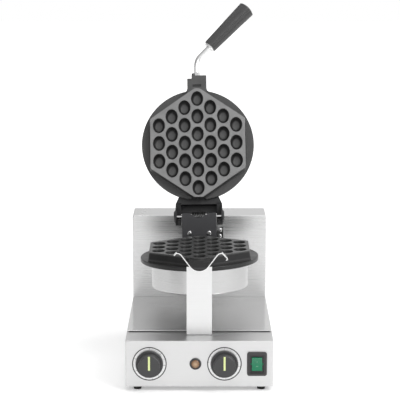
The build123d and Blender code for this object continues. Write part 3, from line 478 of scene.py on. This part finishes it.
thermostat_numbers = ["0", "50", "100", "150", "200", "250", "300"]
timer_numbers = ["0", "1", "2", "3", "4", "5", "6"]
dial_print("thermostat_scale", "thermostat_dial", thermostat_numbers, THERMOSTAT_SWEEP)
dial_print("timer_scale", "timer_dial", timer_numbers, TIMER_SWEEP)

# %% [markdown]
# ## Marks on the rocker
# A power rocker carries a bar for on and a ring for off. They are moulded a little proud and
# filled with pale paint. The rocker stands pressed at its top, so the marks lie on its
# sloping face: they are made flat and then turned with it.

# %%
paint_white = moulded("paint_white", (0.22, 0.42, 0.30), 0.5)
ROCKER_SLOPE = math.radians(-7.0)
ROCKER_PIVOT_Y = -0.2036
MARK_LIFT = 0.0024
BAR_WIDTH = 0.0007
BAR_LOW = 0.0028
BAR_HIGH = 0.0066
OFF_RING_INNER = 0.0014
OFF_RING_OUTER = 0.0020
OFF_RING_STEPS = 32
OFF_RING_DROP = 0.0050


def rocker_marks():
    """The bar in the rocker's upper half and the ring in its lower half."""
    low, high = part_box("switch_rocker")
    middle = (low + high) / 2
    bm = bmesh.new()
    flat_bar(bm, BAR_WIDTH, BAR_LOW, BAR_HIGH, 0)
    ring_bm = bmesh.new()
    flat_ring(ring_bm, OFF_RING_INNER, OFF_RING_OUTER, OFF_RING_STEPS)
    ring_mesh = bpy.data.meshes.new("ring")
    ring_bm.to_mesh(ring_mesh)
    ring_bm.free()
    ring_mesh.transform(Matrix.Translation((0, 0, -OFF_RING_DROP)))
    bm.from_mesh(ring_mesh)
    bpy.data.meshes.remove(ring_mesh)
    bmesh.ops.translate(bm, vec=(0, -MARK_LIFT, 0), verts=bm.verts)
    bmesh.ops.rotate(bm, cent=(0, 0, 0), matrix=Matrix.Rotation(ROCKER_SLOPE, 3, "X"), verts=bm.verts)
    centre = Vector((middle.x, ROCKER_PIVOT_Y, middle.z))
    bmesh.ops.translate(bm, vec=centre, verts=bm.verts)
    piece = mesh_object("rocker_marks", bm, paint_white, "rocker")
    print("rocker marks at x", round(middle.x * 1000, 1), "mm, z", round(middle.z * 1000, 1), "mm")


rocker_marks()

# %% [markdown]
# ## A black strip of painted shade under the tray's lip
# A thin black strip lies under the tray's front lip, where the tray rests on the deck. It is
# painted shade: it stands for the shadow in the gap there and shows as a dark line. One
# stretched box with its edges eased is enough.

# %%
# A black strip put into the gap as painted shade.
gap_shade_black = moulded("gap_shade_black", (0.012, 0.012, 0.012), 0.6, grain=900.0)
SHADE_STRIP_LOW = Vector((-0.1217, -0.1382, 0.0871))
SHADE_STRIP_HIGH = Vector((0.1217, -0.1369, 0.08845))
SHADE_STRIP_EASE = 0.0002


def tray_gap_shade_strip():
    """The strip, as a cube stretched to its two corners."""
    bm = bmesh.new()
    block = bmesh.ops.create_cube(bm, size=1.0)
    bmesh.ops.scale(bm, vec=SHADE_STRIP_HIGH - SHADE_STRIP_LOW, verts=block["verts"])
    bmesh.ops.translate(bm, vec=(SHADE_STRIP_LOW + SHADE_STRIP_HIGH) / 2, verts=block["verts"])
    bmesh.ops.bevel(bm, geom=bm.edges[:], offset=SHADE_STRIP_EASE, offset_type="OFFSET", affect="EDGES",
                    segments=2, profile=0.5, material=-1)
    piece = mesh_object("tray_gap_shade_strip", bm, gap_shade_black, "tray")


tray_gap_shade_strip()
print("nodes left without a finish:", sorted(set(nodes) - finished))

# %% [markdown]
# ## Floor and light
# The photograph has a white background with a soft shadow under the feet. The floor is a
# large pale plane that glows a little, but only for the camera and for gloss, and more with
# its distance from the object. So it meets the white world without a line, and near the
# object it still takes a shadow. The world is white to the eye, and for gloss it is dimmer
# towards the left, as in a studio with its window on the right. A dark board at the left,
# which the camera doesn't see, gives the steel something dark to reflect.

# %%
FLOOR_HALF_SIZE = 12.0
GLOW_NEAR = 0.30
GLOW_FAR = 0.80
GLOW_IN_GLOSS = 0.20
NEAR_DISTANCE = 0.45
FAR_DISTANCE = 2.5
GLOSS_FADE_LEFT = -0.8
GLOSS_FADE_RIGHT = 0.5
LAMP_AIM = Vector((0, 0, 0.25))


def background_rays(tree):
    """One where a ray comes from the camera, gloss or glass, and zero for diffuse light."""
    path = tree.nodes.new("ShaderNodeLightPath")
    first = tree.nodes.new("ShaderNodeMath")
    first.operation = "MAXIMUM"
    second = tree.nodes.new("ShaderNodeMath")
    second.operation = "MAXIMUM"
    tree.links.new(path.outputs["Is Camera Ray"], first.inputs[0])
    tree.links.new(path.outputs["Is Glossy Ray"], first.inputs[1])
    tree.links.new(first.outputs["Value"], second.inputs[0])
    tree.links.new(path.outputs["Is Transmission Ray"], second.inputs[1])
    return second.outputs["Value"], path


def studio_floor():
    """A pale floor that glows more with its distance, for the camera and for gloss."""
    bm = bmesh.new()
    bmesh.ops.create_grid(bm, x_segments=1, y_segments=1, size=FLOOR_HALF_SIZE)
    mesh = bpy.data.meshes.new("floor")
    bm.to_mesh(mesh)
    bm.free()
    material, tree, shader = new_material("floor_white", (0.92, 0.92, 0.92), 0.0, 0.9)
    seen, path = background_rays(tree)
    place = tree.nodes.new("ShaderNodeTexCoord")
    length = tree.nodes.new("ShaderNodeVectorMath")
    length.operation = "LENGTH"
    far = tree.nodes.new("ShaderNodeMapRange")
    far.inputs["From Min"].default_value = NEAR_DISTANCE
    far.inputs["From Max"].default_value = FAR_DISTANCE
    far.inputs["To Min"].default_value = GLOW_NEAR
    far.inputs["To Max"].default_value = GLOW_FAR
    tree.links.new(place.outputs["Object"], length.inputs[0])
    tree.links.new(length.outputs["Value"], far.inputs["Value"])
    dimmed = tree.nodes.new("ShaderNodeMath")
    dimmed.operation = "MULTIPLY"
    dimmed.inputs[1].default_value = GLOW_IN_GLOSS
    tree.links.new(seen, dimmed.inputs[0])
    glow = tree.nodes.new("ShaderNodeMix")
    glow.data_type = "FLOAT"
    tree.links.new(path.outputs["Is Camera Ray"], glow.inputs["Factor"])
    tree.links.new(dimmed.outputs["Value"], glow.inputs["A"])
    tree.links.new(far.outputs["Result"], glow.inputs["B"])
    shader.inputs["Emission Color"].default_value = (1, 1, 1, 1)
    tree.links.new(glow.outputs["Result"], shader.inputs["Emission Strength"])
    mesh.materials.append(material)
    floor = bpy.data.objects.new("floor", mesh)
    bpy.context.scene.collection.objects.link(floor)


def studio_world(dim, left, right):
    """White to the camera; for gloss from left to right in brightness; dim as a light."""
    world = bpy.data.worlds.new("studio")
    bpy.context.scene.world = world
    world.use_nodes = True
    tree = world.node_tree
    plain = tree.nodes["Background"]
    plain.inputs["Color"].default_value = (1, 1, 1, 1)
    seen, path = background_rays(tree)
    place = tree.nodes.new("ShaderNodeTexCoord")
    split = tree.nodes.new("ShaderNodeSeparateXYZ")
    side = tree.nodes.new("ShaderNodeMapRange")
    side.inputs["From Min"].default_value = GLOSS_FADE_LEFT
    side.inputs["From Max"].default_value = GLOSS_FADE_RIGHT
    side.inputs["To Min"].default_value = left
    side.inputs["To Max"].default_value = right
    brighter = tree.nodes.new("ShaderNodeMath")
    brighter.operation = "MAXIMUM"
    level = tree.nodes.new("ShaderNodeMapRange")
    level.inputs["To Min"].default_value = dim
    tree.links.new(place.outputs["Generated"], split.inputs["Vector"])
    tree.links.new(split.outputs["X"], side.inputs["Value"])
    tree.links.new(side.outputs["Result"], brighter.inputs[0])
    tree.links.new(path.outputs["Is Camera Ray"], brighter.inputs[1])
    tree.links.new(seen, level.inputs["Value"])
    tree.links.new(brighter.outputs["Value"], level.inputs["To Max"])
    tree.links.new(level.outputs["Result"], plain.inputs["Strength"])


def dark_card(name, place, size):
    """A dark board beside the object, seen only in reflections."""
    bm = bmesh.new()
    board = bmesh.ops.create_grid(bm, x_segments=1, y_segments=1, size=0.5)
    bmesh.ops.scale(bm, vec=(size[0], size[1], 1), verts=board["verts"])
    aim = (Vector((0, 0, place[2])) - Vector(place)).to_track_quat("Z", "Y").to_matrix()
    bmesh.ops.rotate(bm, cent=(0, 0, 0), matrix=aim, verts=board["verts"])
    bmesh.ops.translate(bm, vec=place, verts=board["verts"])
    mesh = bpy.data.meshes.new(name)
    bm.to_mesh(mesh)
    bm.free()
    mesh.materials.append(new_material("card_black", (0.02, 0.02, 0.02), 0.0, 0.9)[0])
    card = bpy.data.objects.new(name, mesh)
    card.visible_camera = False
    card.visible_diffuse = False
    card.visible_shadow = False
    bpy.context.scene.collection.objects.link(card)


def soft_lamp(name, place, size, watts):
    """A rectangular lamp that points at the middle of the object."""
    data = bpy.data.lights.new(name, "AREA")
    data.shape = "RECTANGLE"
    data.size = size[0]
    data.size_y = size[1]
    data.energy = watts
    lamp = bpy.data.objects.new(name, data)
    lamp.location = place
    aim = LAMP_AIM - Vector(place)
    lamp.rotation_euler = aim.to_track_quat("-Z", "Y").to_euler()
    bpy.context.scene.collection.objects.link(lamp)


studio_floor()
studio_world(dim=0.5, left=0.35, right=1.0)
dark_card("left_card", (-0.9, -0.7, 0.35), (0.7, 1.1))
soft_lamp("key", (1.6, -1.6, 1.9), (1.2, 1.2), 38)
soft_lamp("fill", (-1.9, -1.5, 1.1), (1.4, 1.4), 10)
soft_lamp("top", (0.1, 0.5, 2.2), (1.6, 1.2), 14)
